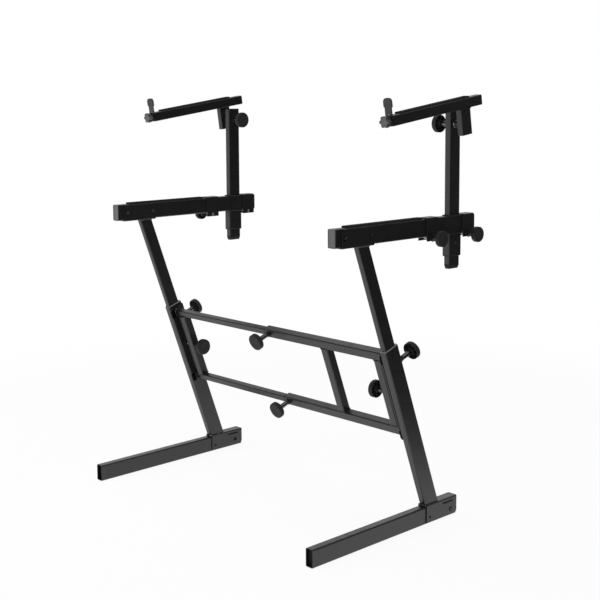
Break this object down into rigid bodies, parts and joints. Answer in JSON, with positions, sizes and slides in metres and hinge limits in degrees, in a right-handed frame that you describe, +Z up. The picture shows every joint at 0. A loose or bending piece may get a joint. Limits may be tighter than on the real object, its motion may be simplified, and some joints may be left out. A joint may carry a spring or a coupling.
{
  "type": "keyboard stand",
  "caption": "Z-shaped keyboard stand of black steel tube, with telescoping legs and crossbars, level lower arms and a tilting upper tier on height-adjustable posts.",
  "frame": {"origin": "on the floor under the middle of the stand's outline", "axes": "+X across the stand to its right-hand side, +Y from the front to the rear, +Z up"},
  "size_m": [1.0022, 0.6072, 1.1314],
  "materials": {
    "steel_coat": "satin black powder coat with a fine texture",
    "cap_plastic": "matt black moulded plastic",
    "knob_plastic": "semi-matt black moulded plastic on a zinc-plated stud",
    "pad_rubber": "black rubber strip",
    "stop_rubber": "dark grey soft plastic sleeve"
  },
  "bodies": {
    "right_side": {"foot_tube_right": "steel_coat", "foot_cap_front_right": "cap_plastic", "foot_cap_rear_right": "cap_plastic", "leg_lower_right": "steel_coat", "leg_guide_right": "cap_plastic", "crossbar_frame_right": "steel_coat", "crossbar_bush_lower": "cap_plastic", "crossbar_bush_upper": "cap_plastic"},
    "left_side": {"foot_tube_left": "steel_coat", "foot_cap_front_left": "cap_plastic", "foot_cap_rear_left": "cap_plastic", "leg_lower_left": "steel_coat", "leg_guide_left": "cap_plastic", "crossbar_frame_left": "steel_coat"},
    "upper_right": {"leg_upper_right": "steel_coat", "arm_right": "steel_coat", "arm_cap_front_right": "cap_plastic", "arm_cap_rear_right": "cap_plastic", "arm_pad_right": "pad_rubber", "sleeve_guide_right": "cap_plastic", "arm_strap_front_right": "steel_coat", "arm_strap_right": "steel_coat"},
    "post_body_right": {"post_right": "steel_coat", "post_cap_bottom_right": "cap_plastic", "post_cap_top_right": "cap_plastic"},
    "tier_right": {"tier_arm_right": "steel_coat", "tier_cap_rear_right": "cap_plastic", "tier_pad_right": "pad_rubber"},
    "stop_right": {"stop_plate_right": "steel_coat", "stop_sleeve_right": "stop_rubber"},
    "knob_leg_rear_right": {"knob_leg_rear_right": "knob_plastic"},
    "knob_leg_side_right": {"knob_leg_side_right": "knob_plastic"},
    "knob_strap_front_right": {"knob_strap_front_right": "knob_plastic"},
    "knob_strap_right": {"knob_strap_right": "knob_plastic"},
    "knob_tilt_right": {"knob_tilt_right": "knob_plastic"},
    "knob_stop_right": {"knob_stop_right": "knob_plastic"},
    "upper_left": {"leg_upper_left": "steel_coat", "arm_left": "steel_coat", "arm_cap_front_left": "cap_plastic", "arm_cap_rear_left": "cap_plastic", "arm_pad_left": "pad_rubber", "sleeve_guide_left": "cap_plastic", "arm_strap_front_left": "steel_coat", "arm_strap_left": "steel_coat"},
    "post_body_left": {"post_left": "steel_coat", "post_cap_bottom_left": "cap_plastic", "post_cap_top_left": "cap_plastic"},
    "tier_left": {"tier_arm_left": "steel_coat", "tier_cap_rear_left": "cap_plastic", "tier_pad_left": "pad_rubber"},
    "stop_left": {"stop_plate_left": "steel_coat", "stop_sleeve_left": "stop_rubber"},
    "knob_leg_rear_left": {"knob_leg_rear_left": "knob_plastic"},
    "knob_leg_side_left": {"knob_leg_side_left": "knob_plastic"},
    "knob_strap_front_left": {"knob_strap_front_left": "knob_plastic"},
    "knob_strap_left": {"knob_strap_left": "knob_plastic"},
    "knob_tilt_left": {"knob_tilt_left": "knob_plastic"},
    "knob_stop_left": {"knob_stop_left": "knob_plastic"},
    "knob_crossbar_lower": {"knob_crossbar_lower": "knob_plastic"},
    "knob_crossbar_upper": {"knob_crossbar_upper": "knob_plastic"}
  },
  "joints": [
    {"name": "width_slide", "type": "slide", "parent": "right_side", "child": "left_side", "axis": [1, 0, 0], "range_m": [-0.08, 0.25]},
    {"name": "leg_height_right", "type": "slide", "parent": "right_side", "child": "upper_right", "axis": [0, -0.342, 0.9397], "range_m": [-0.22, 0.06]},
    {"name": "post_height_right", "type": "slide", "parent": "upper_right", "child": "post_body_right", "axis": [0, 0, 1], "range_m": [-0.18, 0.02]},
    {"name": "tier_tilt_right", "type": "hinge", "parent": "post_body_right", "child": "tier_right", "pos_m": [0.4485, 0.22335, 1.055], "axis": [1, 0, 0], "range_deg": [-20, 20]},
    {"name": "stop_height_right", "type": "slide", "parent": "tier_right", "child": "stop_right", "axis": [0, -0.1444, 0.9895], "range_m": [-0.012, 0.006]},
    {"name": "knob_leg_rear_right_turn", "type": "hinge", "parent": "right_side", "child": "knob_leg_rear_right", "pos_m": [0.4485, 0.0238, 0.45974], "axis": [0, 0.9397, 0.342], "continuous": true},
    {"name": "knob_leg_side_right_turn", "type": "hinge", "parent": "right_side", "child": "knob_leg_side_right", "pos_m": [0.387, 0.02336, 0.36593], "axis": [-1, 0, 0], "continuous": true},
    {"name": "knob_strap_front_right_turn", "type": "hinge", "parent": "upper_right", "child": "knob_strap_front_right", "pos_m": [0.4708, 0.12835, 0.7627], "axis": [1, 0, 0], "continuous": true},
    {"name": "knob_strap_right_turn", "type": "hinge", "parent": "upper_right", "child": "knob_strap_right", "pos_m": [0.4708, 0.27485, 0.7627], "axis": [1, 0, 0], "continuous": true},
    {"name": "knob_tilt_right_turn", "type": "hinge", "parent": "post_body_right", "child": "knob_tilt_right", "pos_m": [0.43225, 0.22335, 1.055], "axis": [-1, 0, 0], "continuous": true},
    {"name": "knob_stop_right_turn", "type": "hinge", "parent": "tier_right", "child": "knob_stop_right", "pos_m": [0.4835, -0.06302, 1.06729], "axis": [0, -0.9895, -0.1444], "continuous": true},
    {"name": "leg_height_left", "type": "slide", "parent": "left_side", "child": "upper_left", "axis": [0, -0.342, 0.9397], "range_m": [-0.22, 0.06]},
    {"name": "post_height_left", "type": "slide", "parent": "upper_left", "child": "post_body_left", "axis": [0, 0, 1], "range_m": [-0.18, 0.02]},
    {"name": "tier_tilt_left", "type": "hinge", "parent": "post_body_left", "child": "tier_left", "pos_m": [-0.4485, 0.22335, 1.055], "axis": [1, 0, 0], "range_deg": [-20, 20]},
    {"name": "stop_height_left", "type": "slide", "parent": "tier_left", "child": "stop_left", "axis": [0, -0.1444, 0.9895], "range_m": [-0.012, 0.006]},
    {"name": "knob_leg_rear_left_turn", "type": "hinge", "parent": "left_side", "child": "knob_leg_rear_left", "pos_m": [-0.4485, 0.0238, 0.45974], "axis": [0, 0.9397, 0.342], "continuous": true},
    {"name": "knob_leg_side_left_turn", "type": "hinge", "parent": "left_side", "child": "knob_leg_side_left", "pos_m": [-0.387, 0.02336, 0.36593], "axis": [1, 0, 0], "continuous": true},
    {"name": "knob_strap_front_left_turn", "type": "hinge", "parent": "upper_left", "child": "knob_strap_front_left", "pos_m": [-0.4708, 0.12835, 0.7627], "axis": [-1, 0, 0], "continuous": true},
    {"name": "knob_strap_left_turn", "type": "hinge", "parent": "upper_left", "child": "knob_strap_left", "pos_m": [-0.4708, 0.27485, 0.7627], "axis": [-1, 0, 0], "continuous": true},
    {"name": "knob_tilt_left_turn", "type": "hinge", "parent": "post_body_left", "child": "knob_tilt_left", "pos_m": [-0.43225, 0.22335, 1.055], "axis": [1, 0, 0], "continuous": true},
    {"name": "knob_stop_left_turn", "type": "hinge", "parent": "tier_left", "child": "knob_stop_left", "pos_m": [-0.4835, -0.06302, 1.06729], "axis": [0, -0.9895, -0.1444], "continuous": true},
    {"name": "knob_crossbar_lower_turn", "type": "hinge", "parent": "right_side", "child": "knob_crossbar_lower", "pos_m": [-0.004, 0.043, 0.25495], "axis": [0, -0.9397, -0.342], "continuous": true},
    {"name": "knob_crossbar_upper_turn", "type": "hinge", "parent": "right_side", "child": "knob_crossbar_upper", "pos_m": [-0.004, -0.03293, 0.46357], "axis": [0, -0.9397, -0.342], "continuous": true}
  ]
}
